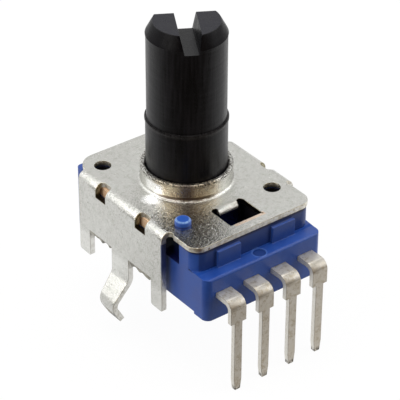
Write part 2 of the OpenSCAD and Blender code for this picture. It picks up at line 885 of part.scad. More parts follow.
module terminal_blank(k) {
    translate([terminal_x(k), 0, 0]) intersection() {
        along_x(-terminal_w / 2, terminal_w / 2) terminal_side();
        along_y(-far, 0) terminal_front();
    }
}

module terminal(k) {
    color(tin) difference() {
        terminal_blank(k);
        rivet_hole(k);
    }
}

module rivet_hole(k) {
    translate([terminal_x(k), -rivet_y, 0])
        cylinder(d = rivet_d + 2 * stake_gap, h = far, center = true);
}

module rivet_blank(k) {
    translate([terminal_x(k), -rivet_y, 0]) {
        upright(board_bottom - rivet_head_h, board_bottom) circle(d = rivet_head_d);
        upright(board_bottom - rivet_head_h, rivet_head_h - terminal_top) circle(d = rivet_d);
        upright(-terminal_top, rivet_head_h - terminal_top) circle(d = rivet_head_d);
    }
}

module rivet(k) {
    color("tan") rivet_blank(k);
}

cover();
housing();
shaft();
insulating_plate();
wiper();
element_board();
carbon_track();
collector_ring();
for (k = [1:4]) {
    lead(k);
    terminal(k);
    rivet(k);
}
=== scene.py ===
"""Looks of an upright rotary potentiometer: plated snap-in cover, black D-shaft, blue housing, bent pins."""
import math

import bmesh
import bpy
from mathutils import Matrix, Vector, noise


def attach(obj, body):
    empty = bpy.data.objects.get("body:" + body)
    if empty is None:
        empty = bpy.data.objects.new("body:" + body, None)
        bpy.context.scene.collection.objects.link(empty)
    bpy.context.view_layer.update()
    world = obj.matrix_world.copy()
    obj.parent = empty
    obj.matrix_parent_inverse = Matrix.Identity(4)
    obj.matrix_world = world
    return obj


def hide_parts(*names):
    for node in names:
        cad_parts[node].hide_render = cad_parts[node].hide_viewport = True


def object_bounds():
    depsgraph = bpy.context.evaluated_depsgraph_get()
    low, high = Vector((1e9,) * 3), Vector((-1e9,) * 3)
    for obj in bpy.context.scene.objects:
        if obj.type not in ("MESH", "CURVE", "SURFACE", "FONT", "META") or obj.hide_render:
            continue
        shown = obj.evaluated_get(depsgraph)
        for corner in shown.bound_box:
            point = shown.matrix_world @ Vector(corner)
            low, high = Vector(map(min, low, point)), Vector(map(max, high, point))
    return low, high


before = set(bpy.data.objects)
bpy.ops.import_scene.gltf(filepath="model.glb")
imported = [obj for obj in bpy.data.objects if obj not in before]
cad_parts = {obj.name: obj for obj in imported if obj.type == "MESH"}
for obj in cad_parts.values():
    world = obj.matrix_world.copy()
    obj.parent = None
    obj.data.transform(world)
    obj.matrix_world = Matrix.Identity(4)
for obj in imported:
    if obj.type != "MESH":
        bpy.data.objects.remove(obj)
cad_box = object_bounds()
MM = 0.001

# ---- Camera -------------------------------------------------------------------------------
CAMERA_PLACE = Vector((-76.155, -100.440, 81.466)) * MM
CAMERA_YAW = -37.629
CAMERA_PITCH = 33.558
CAMERA_ROLL = 0.286
CAMERA_LENS = 180.07
CAMERA_CLIP = (5 * MM, 5000 * MM)

# ---- Studio -------------------------------------------------------------------------------
BEHIND = (0.6105, 0.7920, 0.0)
SHEET = (1.0, 1.0, 1.0)
ROOM = (0.6, 0.47, 0.32)
ROOM_LOW = (0.05, 0.04, 0.035)
ROOM_RISE = (-0.1, 0.45)
SHEET_TURN = (-0.6, -0.05)
SHEET_RISE = (0.86, 0.98)
LENS_WAY = (-0.42, -0.55, 0.722)
LENS_DARK = (0.09, 0.07, 0.09)
LENS_SPREAD = (0.90, 0.97)
TABLE_NEAR = (0.10, 0.08, 0.06)
TABLE_FAR = (1.0, 1.0, 1.0)
TABLE_RUN = (-30 * MM, 2 * MM)
FLOOR_SIZE = 1200 * MM
FLOOR_SHADOW = 0.05
PAPER = (0.9, 0.9, 0.9, 1)
PAPER_ROUGHNESS = 0.9
PAPER_SPECULAR = 0.1
LAMPS = {
    "back_left": dict(place=(-0.21, 0.30, 0.22), size=0.34, radiance=0.95),
    "left": dict(place=(-0.46, 0.02, 0.24), size=0.34, radiance=2.6),
    "right": dict(place=(0.38, -0.24, 0.26), size=0.36, radiance=1.9),
    "overhead": dict(place=(0.0, 0.0, 0.5), size=0.3, radiance=2.0),
}


def srgb(red, green, blue):
    """Linear colour of a colour written as 0 to 255."""
    levels = (red / 255, green / 255, blue / 255)
    return tuple(v / 12.92 if v <= 0.04045 else ((v + 0.055) / 1.055) ** 2.4 for v in levels)


# ---- Materials: shades, places and reliefs. All lengths in this part are in millimetres ---------
STEEL = srgb(208, 208, 203)
STEEL_CLOUDS = srgb(206, 206, 201), srgb(201, 200, 195)
STEEL_PATCH = srgb(184, 186, 178)
STEEL_PEARL = srgb(166, 164, 156)
STEEL_PIT = srgb(110, 104, 92)
PAINTED_TOP_SHADE = srgb(120, 118, 112)
STEEL_PAINTED_LIGHT = srgb(240, 240, 236)
WHITE = srgb(255, 255, 255)
CUT_HIGH = srgb(232, 230, 222), srgb(196, 188, 170)
CUT_LOW = srgb(220, 219, 214), srgb(190, 187, 178)
SLOT_CUT_SHADED = srgb(172, 166, 142), srgb(104, 96, 74)
SLOT_BOTTOM_SHADE = srgb(30, 24, 18)
WINDOW_CUT_SHADE = srgb(36, 32, 30)
BURR_HIGH = srgb(150, 138, 104), srgb(216, 208, 182)
BURR_LOW = srgb(44, 38, 26), srgb(122, 114, 90)
TORN_EDGE = srgb(150, 146, 132), srgb(70, 64, 52)
COLLAR_GOLD_REFLECTION = srgb(206, 182, 142), srgb(222, 208, 176)
COLLAR_DARK_REFLECTION = srgb(88, 76, 82)
COLLAR_SPECK = srgb(84, 80, 74)
COLLAR_CREASE_SHADE = srgb(84, 64, 46)
HEM_DARK_REFLECTION = srgb(132, 116, 104)
PEPPER = srgb(84, 76, 66)
WARM_REFLECTION = srgb(120, 108, 94)
INSIDE_RED_SHADE = srgb(44, 12, 18)
BLUE_REFLECTION = srgb(66, 78, 116)
TONGUE_BLUE_REFLECTION = srgb(28, 34, 84)
WINDOW_COPPER = srgb(226, 196, 170)
RUST = srgb(122, 92, 58)

BLUE = srgb(30, 70, 154)
BLUE_CLOUDS = srgb(29, 65, 143), srgb(37, 75, 155)
BLUE_FLECK = srgb(64, 104, 172)
PEG_SHADED_TONES = srgb(14, 30, 88), srgb(36, 80, 164)
PEG_RIM_HIGHLIGHT = srgb(150, 190, 232)
MARK_FLOOR = srgb(26, 56, 122)
MARK_EDGE_HIGHLIGHT = srgb(62, 96, 170)
WALL_SHADE = srgb(8, 12, 40)
UNDER_SHADE = srgb(8, 10, 34)
WELL_SHADE = srgb(14, 8, 52)
HOLLOW_PAINTED_SHADE = srgb(16, 15, 20)
RECESS_SHADE_LOW, RECESS_SHADE_MIDDLE, RECESS_SHADE_TOP = srgb(12, 18, 62), srgb(10, 22, 40), srgb(64, 10, 18)

BLACK = srgb(14, 14, 16)
BLACK_STREAKS = srgb(11, 11, 13), srgb(23, 22, 26)
BLACK_FLECK = srgb(46, 44, 50)
CHAMFER_PAINTED_SHADE = srgb(8, 7, 10)
SEAM_PAINTED_LIGHT = srgb(48, 46, 46)
SHAFT_TOP_PAINTED_SHADE = srgb(12, 12, 30)

TAN = srgb(220, 180, 144)
TAN_LAYERS = srgb(250, 220, 188), srgb(222, 178, 138)
TAN_PAINTED_SHADE = srgb(14, 12, 12)

TIN = srgb(196, 193, 184)
TIN_CLOUDS = srgb(210, 207, 200), srgb(200, 195, 184)
TIN_BLOTCH = srgb(156, 144, 120)
TIN_STREAK = srgb(150, 140, 120)
TIN_LEFT_PAINTED_LIGHT = srgb(246, 245, 238)
TIN_FRONT_PAINTED_SHADE = srgb(160, 146, 122)
TIN_EDGE = srgb(84, 76, 60)
TIN_WORN = srgb(76, 72, 64)

# Boxes, each given by its two corners
SLOTS = [((side * 6.0 - 0.4, y - 0.9, -1.7), (side * 6.0 + 0.4, y + 0.9, 0.1))
         for side in (-1, 1) for y in (-2.45, 2.55)]
INSIDES = [((-5.74, -5.08, -2.6), (-4.8, -3.0, -0.46)), ((4.8, -5.08, -2.6), (5.74, -3.0, -0.46))]
LEG_ENDS = [((-6.25, -5.2, -4.4), (-5.6, -5.0, -0.9)), ((5.6, -5.2, -4.4), (6.25, -5.0, -0.9))]
LIT_LEGS = ((-6.3, -6.0, -7.2), (6.3, 6.0, -5.0))
TORN = [((-7.0, low, -5.4), (7.0, low + 2.8, -4.57)) for low in (-3.73, 1.25)]
WINDOW_SIDES = [((-1.7, -7.1, -0.6), (-0.9, -4.4, 0.2)), ((0.9, -7.1, -0.6), (1.7, -4.4, 0.2))]
WINDOW_FRONT = ((-1.2, -7.5, -0.1), (1.6, -7.1, 0.1))
TONGUE_FOLD = ((-1.1, -5.4, -0.34), (1.1, -4.5, 0.2))
TONGUE_FACE = ((-1.1, -5.5, -2.5), (1.1, -4.5, -0.42))
FRONT_WALL = ((-5.6, -8.3, -2.06), (5.6, -8.0, -0.3))
WALL_FOOT = ((-5.3, -8.4, -2.2), (5.3, -8.1, -1.98))
UNDER_SHEET = ((-5.6, -8.3, -0.62), (5.6, -6.6, -0.3))
PAD_FRONTS = ((-3.7, -8.55, -2.06), (3.7, -8.42, -0.6))
WELL = ((-1.9, -7.4, -2.8), (1.9, -4.2, -0.42))
WELL_WALL = ((0.9, -7.0, -2.5), (1.7, -4.5, -0.3))
WELL_BACK = ((-1.7, -5.9, -2.5), (1.7, -4.3, -0.3))
RECESSES = [((-5.52, -6.2, -2.3), (-4.86, -3.8, -0.45)), ((4.86, 3.8, -2.3), (5.52, 6.2, -0.45))]

# How far a box's border fades on both sides
EDGE = 0.04
INSIDE_EDGE = 0.015
LEG_LIGHT_EDGE = 0.3
UNDER_EDGE = 0.08

# Round places
AXIS = (0.0, 0.0)
COLLAR_RADIUS = 3.5
LINE_WIDTH = 0.05
HEM_RADIUS, HEM_WIDTH = 3.7, 0.14
PEGS = [(-4.15, -5.03), (4.15, 5.03)]
PEG_RIM, PEG_RIM_WIDTH = 0.5, 0.06
MARK = (0.0, -8.74)
MARK_RADIUS = 0.5
MARK_RING, MARK_RING_WIDTH = 0.54, 0.06
CORES = [(-4.15, 5.03), (4.15, -5.03)]
CORE_RADIUS = 0.67
CORE_HEIGHTS = (-4.0, -3.97), (-0.46, -0.43)
PLATE_HIGHLIGHT = dict(centre=(-4.05, -0.95, 0.0), radius=0.85, share=0.85)
STAINS = [dict(centre=(-4.9, -7.9, -0.2), radius=0.35, share=0.8),
          dict(centre=(-4.2, -8.2, -0.3), radius=0.12, share=0.9),
          dict(centre=(1.45, -7.25, 0.0), radius=0.12, share=0.9)]
# Where a spot starts to fade and where it ends, in radii
SPOT_SPAN = (0.9, 1.5)

# Heights, and runs towards the eye or beside it: each pair is where a ramp starts and ends
SHEET_LOW = (-0.75, -0.5)
SLOT_DEEP = (-1.15, -0.75)
TOP_FACE = (-0.03, -0.01), (0.02, 0.06)
COLLAR_WALL = (0.1, 0.3)
COLLAR_LIP = (1.12, 1.26)
LINE_HEIGHTS = (0.08, 0.14), (0.28, 0.36)
HEM_HEIGHT = (0.01, 0.04)
HIGHLIGHT_HEIGHTS = (0.2, 0.35), (0.95, 1.15)
HIGHLIGHT_SIDE = (-3.1, -2.8), (-2.0, -1.6)
HIGHLIGHT_FRONT = (0.0, 1.0)
GOLD_REFLECTION_FRONT = dict(span=(2.2, 3.0), out_high=0.6)
MIDDLE_FRONT, MIDDLE_BESIDE = (2.6, 3.0), dict(span=(0.1, 0.9), share=0.7)
LINE_FRONT = dict(span=(2.6, 3.2), out_high=0.8)
HEM_FRONT = dict(span=(2.4, 3.4), out_high=0.5)
FROST_FRONT, FROST_BESIDE = (3.9, 5.4), (1.4, 3.6)
WARM_FRONT, WARM_BESIDE = dict(span=(4.0, 6.0), share=0.35), (0.3, 1.8)
LEG_END_HEIGHT = dict(span=(-4.6, -2.8), out_high=0.9)
CALM_HEIGHT = (-5.4, -5.0)
PEG_HEIGHT = (0.0, 0.04)
PEG_TONE_HEIGHT = (0.04, 0.3)
PEG_RIM_HEIGHT = (0.36, 0.46)
MARK_HEIGHTS = (-2.3, -2.2), (-2.0, -1.9)
RECESS_RISE, RECESS_RED = (-2.0, -0.9), (-0.9, -0.6)
CHAMFER_HEIGHTS = (12.3, 12.32), (13.26, 13.28)
SHAFT_TOP = (13.28, 13.3)
SEAM_HEIGHTS = (5.03, 5.05), (5.42, 5.44)
PIN_WORN = (-11.2, -10.9)

# Noises: the size of their features, and what else shapes them
STEEL_CLOUD = dict(size=2.2, detail=2.0)
PATCHES = dict(size=0.42, detail=2.0)
PEARL = dict(size=0.16, detail=1.0, rough=0.5)
PITS = dict(size=0.22, detail=1.0, scale=(1, 1, 0.8))
STEEL_GRAIN = dict(size=0.08, detail=1.0)
RAGGED = dict(size=0.3)
BURRS = dict(size=0.5)
GOLD_CLOUD = dict(size=0.7)
PEPPER_GRAIN = dict(size=0.2, detail=0.0, shift=(10, 20, 0))
SALT_GLINTS = dict(size=0.2, detail=0.0)
LIP_SPECKS = dict(size=0.12, detail=1.0)
HOUSING_CLOUD = dict(size=1.6)
FINE_GRAIN = dict(size=0.1, detail=3.0)
SHAFT_DRAWN = dict(size=0.22, detail=3.0, scale=(1, 1, 0.06))
SHAFT_WAVE = dict(size=0.9, detail=2.0, scale=(0.5, 0.5, 2.2))
LAYERS = dict(size=0.2, scale=(0.25, 0.25, 3))
TIN_CLOUD = dict(size=0.8)
TIN_DRAWN = dict(size=0.1, detail=3.0, scale=(1, 1, 0.3))
BLOTCHES = dict(size=0.3, detail=3.0, rough=0.7)
METAL_MOTTLE = dict(size=0.5)
INK_GRAIN = dict(size=0.08)

# The part of a noise's or a mask's range over which it takes effect
UNIT = (0.0, 1.0)
CLOUD_SPAN = (0.3, 0.7)
HALF_SPAN = (0.35, 0.65)
RAGGED_SPAN = (0.4, 0.65)
BURR_SPAN_HIGH = (0.4, 0.6)
BURR_SPAN_LOW = (0.42, 0.56)
GOLD_SPAN = (0.4, 0.6)
SPECK_SPAN = (0.46, 0.56)
STREAK_SPAN = (0.4, 0.7)
WORN_SPAN = (0.42, 0.56)

# The same with the shares, of paint or of height, that it goes from and to
PATCH_RAMP = dict(span=(0.46, 0.66), out_high=0.5)
PEARL_RAMP = dict(span=(0.56, 0.74), out_high=0.45)
PIT_RAMP = dict(span=(0.74, 0.8), out_high=0.7)
PEPPER_RAMP = dict(span=(0.5, 0.66), out_high=0.6)
SALT_GLINT_RAMP = dict(span=(0.56, 0.7), out_high=0.7)
BLUE_FLECK_RAMP = dict(span=(0.6, 0.75), out_high=0.35)
PEG_RIM_RAMP = dict(span=(0.4, 0.6), out_low=0.15, out_high=0.6)
BLACK_FLECK_RAMP = dict(span=(0.62, 0.76), out_high=0.5)
SEAM_RAMP = dict(span=(0.35, 0.6), out_low=0.15, out_high=0.5)
BLOTCH_RAMP = dict(span=(0.5, 0.64), out_high=0.65)
STREAK_RAMP = dict(span=(0.6, 0.74), out_high=0.5)
TIN_EDGE_RAMP = dict(span=(0.3, 0.6), out_low=0.9, out_high=0.5)
MOTTLE_RAMP = dict(span=(0.35, 0.7), out_low=0.8, out_high=1.0)
FACING_LEFT = dict(span=(-0.9, -0.6), share=0.6)
FACING_FRONT = dict(span=(-0.98, -0.8), share=0.28)

# Shares of paint that are the same all over their place
TOP_SHADE_SHARE = 0.12
LEG_LIGHT_SHARE = 0.4
TONGUE_REFLECTION_SHARE = 0.85
TORN_SHARE = 0.85
COPPER_SHARE = 0.6
SHAFT_TOP_SHADE_SHARE = 0.5
HOUSING_SHADOWS = [(FRONT_WALL, 0.5, WALL_SHADE), (PAD_FRONTS, 0.2, WALL_SHADE),
                   (UNDER_SHEET, 0.75, UNDER_SHADE, UNDER_EDGE), (WELL, 0.55, WELL_SHADE)]

# Depths of relief, and how much of the pearl's is left where the steel is calm
PEARL_DEPTH = 0.028
CALM_SHARE = 0.45
STEEL_GRAIN_DEPTH = 0.024
HOUSING_DEPTH = 0.006
SHAFT_DEPTHS = (0.02, 0.006, 0.004)
LAYER_DEPTH = 0.01
BLOTCH_DEPTH = 0.012
TIN_DRAWN_DEPTH = 0.006
METAL_DEPTH = 0.004
INK_DEPTH = 0.01

# Roughness and specular level, from where their mask is zero to where it is one
STEEL_ROUGHNESS = (0.21, 0.42)
HOUSING_ROUGHNESS = (0.3, 0.42)
HOUSING_SPECULAR = (0.42, 0.08)
SHAFT_ROUGHNESS = (0.26, 0.4)
SHAFT_SPECULAR = (0.2, 0.07)

# Directions in the plate's plane: towards the front left, where the eye is, and across it
FRONTWARDS = (-0.61, -0.79)
SIDEWAYS = (0.79, -0.61)

# The cut mask is 1 on sheared faces and RIM on the rounds beside them
SHEARED = (0.7, 0.8)
BESIDE_CUT = (0.2, 0.3)


class Surface:
    """A material with a Principled shader, and short calls for the nodes that feed it."""

    def __init__(self, name, colour, metallic=0.0, roughness=0.4, specular=0.5):
        self.material = bpy.data.materials.new(name)
        self.material.use_nodes = True
        self.tree = self.material.node_tree
        self.shader = self.tree.nodes["Principled BSDF"]
        self.shader.inputs["Base Color"].default_value = (*colour, 1)
        self.shader.inputs["Metallic"].default_value = metallic
        self.shader.inputs["Roughness"].default_value = roughness
        self.shader.inputs["Specular IOR Level"].default_value = specular
        metres = self.tree.nodes.new("ShaderNodeTexCoord").outputs["Object"]
        self.place = self.node("ShaderNodeMapping", Vector=metres, Scale=(1 / MM,) * 3).outputs["Vector"]
        self.x, self.y, self.z = self.node("ShaderNodeSeparateXYZ", Vector=self.place).outputs
        self.tone = colour
        self.relief = None

    def node(self, kind, **inputs):
        """A new node with its named inputs fed."""
        made = self.tree.nodes.new(kind)
        for name, value in inputs.items():
            self.feed(made.inputs[name], value)
        return made

    def feed(self, socket, value):
        """Link a socket to another, or set its value."""
        if isinstance(value, bpy.types.NodeSocket):
            self.tree.links.new(value, socket)
        else:
            socket.default_value = value

    # Numbers
    def math(self, operation, first, second=0.0):
        """One operation on two values, each a number or a socket."""
        made = self.tree.nodes.new("ShaderNodeMath")
        made.operation = operation
        self.feed(made.inputs[0], first)
        self.feed(made.inputs[1], second)
        return made.outputs[0]

    def sum(self, first, second):
        return self.math("ADD", first, second)

    def product(self, first, second):
        return self.math("MULTIPLY", first, second)

    def larger(self, first, second):
        return self.math("MAXIMUM", first, second)

    def ramp(self, value, span, out_low=0.0, out_high=1.0):
        """The value's way through the span, spread to out_low to out_high and clamped."""
        made = self.tree.nodes.new("ShaderNodeMapRange")
        made.interpolation_type = "SMOOTHSTEP"
        for socket, given in zip(made.inputs, (value, *span, out_low, out_high)):
            self.feed(socket, given)
        return made.outputs["Result"]

    def fall(self, value, span, share=1.0):
        """The share before the span and nothing after it."""
        return self.ramp(value, span, share, 0.0)

    def between(self, value, rise, fall):
        """One from the first span to the second."""
        return self.product(self.ramp(value, rise), self.fall(value, fall))

    def along(self, direction):
        """How far a place lies from the shaft's axis, along a direction in the plate's plane."""
        return self.sum(self.product(self.x, direction[0]), self.product(self.y, direction[1]))

    # Textures and masks
    def noise(self, size, detail=4.0, rough=0.6, scale=(1, 1, 1), shift=(0, 0, 0)):
        """Noise with features of about that size, on places that are scaled and shifted first."""
        place = self.node("ShaderNodeMapping", Vector=self.place, Scale=scale, Location=shift)
        made = self.node("ShaderNodeTexNoise", Vector=place.outputs["Vector"], Scale=1 / size,
                         Detail=detail, Roughness=rough)
        return made.outputs["Fac"]

    def mask(self, name):
        """A value that the mesh carries, such as which of its faces are cut ones."""
        made = self.tree.nodes.new("ShaderNodeAttribute")
        made.attribute_name = name
        return made.outputs["Fac"]

    def within(self, box, edge=EDGE):
        """One inside a box."""
        share = 1.0
        for axis, least, most in zip((self.x, self.y, self.z), *box):
            borders = (least - edge, least + edge), (most - edge, most + edge)
            share = self.product(share, self.between(axis, *borders))
        return share

    def spot(self, centre, radius, share):
        """The share inside a ball with a ragged border."""
        far = self.node("ShaderNodeVectorMath")
        far.operation = "DISTANCE"
        self.feed(far.inputs[0], self.place)
        far.inputs[1].default_value = centre
        ragged = self.sum(far.outputs["Value"], self.product(self.noise(**RAGGED), radius))
        return self.fall(ragged, [radius * v for v in SPOT_SPAN], share)

    def ring(self, centres, radius, width, edge=0.02):
        """One on upright rings of that radius, out to the width on both sides."""
        rings = 0.0
        for centre in centres:
            dx, dy = self.sum(self.x, -centre[0]), self.sum(self.y, -centre[1])
            away = self.math("SQRT", self.sum(self.product(dx, dx), self.product(dy, dy)))
            off = self.math("ABSOLUTE", self.sum(away, -radius))
            rings = self.larger(rings, self.fall(off, (width - edge, width + edge)))
        return rings

    # Colour and relief
    def mixed(self, share, first, second):
        """Two colours mixed by a share."""
        made = self.tree.nodes.new("ShaderNodeMix")
        made.data_type = "RGBA"
        self.feed(made.inputs["Factor"], share)
        for socket, given in ((made.inputs[6], first), (made.inputs[7], second)):
            self.feed(socket, (*given, 1) if isinstance(given, tuple) else given)
        return made.outputs[2]

    def paint(self, share, colour):
        """Lay that share of a colour over what is painted so far."""
        self.tone = self.mixed(share, self.tone, colour)

    def patch(self, box, share, colour, edge=EDGE):
        """Lay that share of a colour over the painted inside of a box."""
        self.paint(self.product(self.within(box, edge), share), colour)

    def bump(self, height, depth):
        """Relief of that depth, on top of the relief made before it."""
        made = self.node("ShaderNodeBump", Height=height, Distance=depth * MM, Strength=1.0)
        if self.relief:
            self.feed(made.inputs["Normal"], self.relief)
        self.relief = made.outputs["Normal"]

    def done(self, **sockets):
        """The material, with its paint and relief and the given sockets fed to the shader."""
        tone = (*self.tone, 1) if isinstance(self.tone, tuple) else self.tone
        self.feed(self.shader.inputs["Base Color"], tone)
        self.feed(self.shader.inputs["Normal"], self.relief)
        for socket, value in sockets.items():
            self.feed(self.shader.inputs[socket.replace("_", " ")], value)
        return self.material


def cut_edges(s, pearl):
    """The sheet's sheared faces, bright but ragged, with painted shade on them in the fold slots and the
    window, and the burred rounds beside them.
    """
    cut = s.mask("cut")
    sheared_face = s.ramp(cut, SHEARED)
    ragged = s.ramp(s.noise(**RAGGED), RAGGED_SPAN)
    low = s.fall(s.z, SHEET_LOW)
    torn = s.mixed(low, s.mixed(ragged, *CUT_HIGH), s.mixed(ragged, *CUT_LOW))
    # Painted shade: in the fold slots the cut faces are darker, and nearly black deeper down.
    for box in SLOTS:
        slot_shade = s.mixed(s.ramp(s.z, SLOT_DEEP), SLOT_BOTTOM_SHADE, s.mixed(ragged, *SLOT_CUT_SHADED))
        torn = s.mixed(s.within(box), torn, slot_shade)
    s.paint(sheared_face, torn)
    burr = s.mixed(low, s.mixed(s.ramp(pearl, BURR_SPAN_HIGH), *BURR_HIGH),
                   s.mixed(s.ramp(s.noise(**BURRS), BURR_SPAN_LOW), *BURR_LOW))
    s.paint(s.between(cut, BESIDE_CUT, SHEARED), burr)
    # Painted shade: the sheared sides of the cover's window nearly black.
    for box in WINDOW_SIDES:
        s.paint(s.product(s.within(box), sheared_face), WINDOW_CUT_SHADE)
    return cut, ragged


def collar_wall(s, front):
    """The drawn collar, with a painted gold reflection towards the eye, a painted dark reflection in its
    middle and a painted highlight on its left.
    """
    wall = s.ramp(s.z, COLLAR_WALL)
    across = s.along(SIDEWAYS)
    # Painted reflection: gold on the wall's side towards the eye.
    gold_reflection = s.product(wall, s.ramp(front, **GOLD_REFLECTION_FRONT))
    s.paint(gold_reflection, s.mixed(s.ramp(s.noise(**GOLD_CLOUD), GOLD_SPAN), *COLLAR_GOLD_REFLECTION))
    # Painted reflection: a dark middle on the wall's side towards the eye.
    middle = s.product(s.ramp(front, MIDDLE_FRONT), s.fall(s.math("ABSOLUTE", across), **MIDDLE_BESIDE))
    s.paint(s.product(wall, middle), COLLAR_DARK_REFLECTION)
    # Painted highlight: white on the wall's left.
    highlight = s.product(s.between(across, *HIGHLIGHT_SIDE), s.between(s.z, *HIGHLIGHT_HEIGHTS))
    s.paint(s.product(highlight, s.ramp(front, HIGHLIGHT_FRONT)), WHITE)


def top_face(s, front):
    """The plate's top, frosted with fine dark grain and painted glints before the collar, with a painted warm
    reflection along the line to the eye and painted shade all over. Gives back where it is frosted.
    """
    beside = s.math("ABSOLUTE", s.along(SIDEWAYS))
    flat = s.between(s.z, *TOP_FACE)
    frosted = s.product(flat, s.product(s.ramp(front, FROST_FRONT), s.fall(beside, FROST_BESIDE)))
    s.paint(s.product(frosted, s.ramp(s.noise(**PEPPER_GRAIN), **PEPPER_RAMP)), PEPPER)
    # Painted glints: white specks in the frosted grain before the collar.
    s.paint(s.product(frosted, s.ramp(s.noise(**SALT_GLINTS), **SALT_GLINT_RAMP)), WHITE)
    # Painted reflection: a warm dark band on the top along the line towards the eye.
    warm_reflection = s.product(s.product(flat, s.fall(beside, WARM_BESIDE)), s.fall(front, **WARM_FRONT))
    s.paint(warm_reflection, WARM_REFLECTION)
    # Painted shade: the whole flat top a little darker.
    s.paint(s.product(flat, TOP_SHADE_SHARE), PAINTED_TOP_SHADE)
    return frosted


def collar_foot_and_lip(s, front):
    """Specks on the collar's lip, a painted shade line over its foot and a painted darker reflection on the
    foot itself, both towards the eye.
    """
    lip = s.ramp(s.z, COLLAR_LIP)
    s.paint(s.product(lip, s.ramp(s.noise(**LIP_SPECKS), SPECK_SPAN)), COLLAR_SPECK)
    # Painted shade: a dark line in the crease over the collar's foot, towards the eye.
    line = s.product(s.ring([AXIS], COLLAR_RADIUS, LINE_WIDTH), s.between(s.z, *LINE_HEIGHTS))
    s.paint(s.product(line, s.ramp(front, **LINE_FRONT)), COLLAR_CREASE_SHADE)
    # Painted reflection: the collar's foot darker towards the eye.
    hem = s.product(s.ring([AXIS], HEM_RADIUS, HEM_WIDTH), s.ramp(s.z, HEM_HEIGHT))
    s.paint(s.product(hem, s.ramp(front, **HEM_FRONT)), HEM_DARK_REFLECTION)
    return lip


def plated_steel():
    """Bright plated sheet: clouded and pitted, frosted before the collar and burred where it is cut, with
    painted shade, light, highlights and reflections.
    """
    s = Surface("plated_steel", STEEL, metallic=1.0, roughness=0.2)
    pearl = s.noise(**PEARL)
    s.tone = s.mixed(s.ramp(s.noise(**STEEL_CLOUD), CLOUD_SPAN), *STEEL_CLOUDS)
    s.paint(s.ramp(s.noise(**PATCHES), **PATCH_RAMP), STEEL_PATCH)
    s.paint(s.ramp(pearl, **PEARL_RAMP), STEEL_PEARL)
    s.paint(s.ramp(s.noise(**PITS), **PIT_RAMP), STEEL_PIT)
    cut, ragged = cut_edges(s, pearl)
    front = s.along(FRONTWARDS)
    collar_wall(s, front)
    frosted = top_face(s, front)
    # Painted light: the lower legs lighter.
    s.patch(LIT_LEGS, LEG_LIGHT_SHARE, STEEL_PAINTED_LIGHT, LEG_LIGHT_EDGE)
    # Painted highlight: a white spot on the plate left of the collar.
    s.paint(s.spot(**PLATE_HIGHLIGHT), WHITE)
    # Painted reflection: the tongue's face takes the blue of the housing.
    s.patch(TONGUE_FACE, TONGUE_REFLECTION_SHARE, TONGUE_BLUE_REFLECTION)
    # Painted shade: dark red on the cover's insides beside the housing's recesses.
    for box in INSIDES:
        s.paint(s.within(box, INSIDE_EDGE), INSIDE_RED_SHADE)
    for box in LEG_ENDS:
        s.patch(box, s.ramp(s.z, **LEG_END_HEIGHT), BLUE_REFLECTION)
    for box in TORN:
        s.patch(box, TORN_SHARE, s.mixed(ragged, *TORN_EDGE))
    lip = collar_foot_and_lip(s, front)
    s.patch(WINDOW_FRONT, COPPER_SHARE, WINDOW_COPPER)
    for stain in STAINS:
        s.paint(s.spot(**stain), RUST)
    calm = s.larger(frosted, s.fall(s.z, CALM_HEIGHT))
    s.bump(s.product(pearl, s.ramp(calm, UNIT, 1.0, CALM_SHARE)), PEARL_DEPTH)
    s.bump(s.noise(**STEEL_GRAIN), STEEL_GRAIN_DEPTH)
    matt = s.larger(s.larger(cut, lip), s.within(TONGUE_FOLD))
    return s.done(Roughness=s.ramp(matt, UNIT, *STEEL_ROUGHNESS))


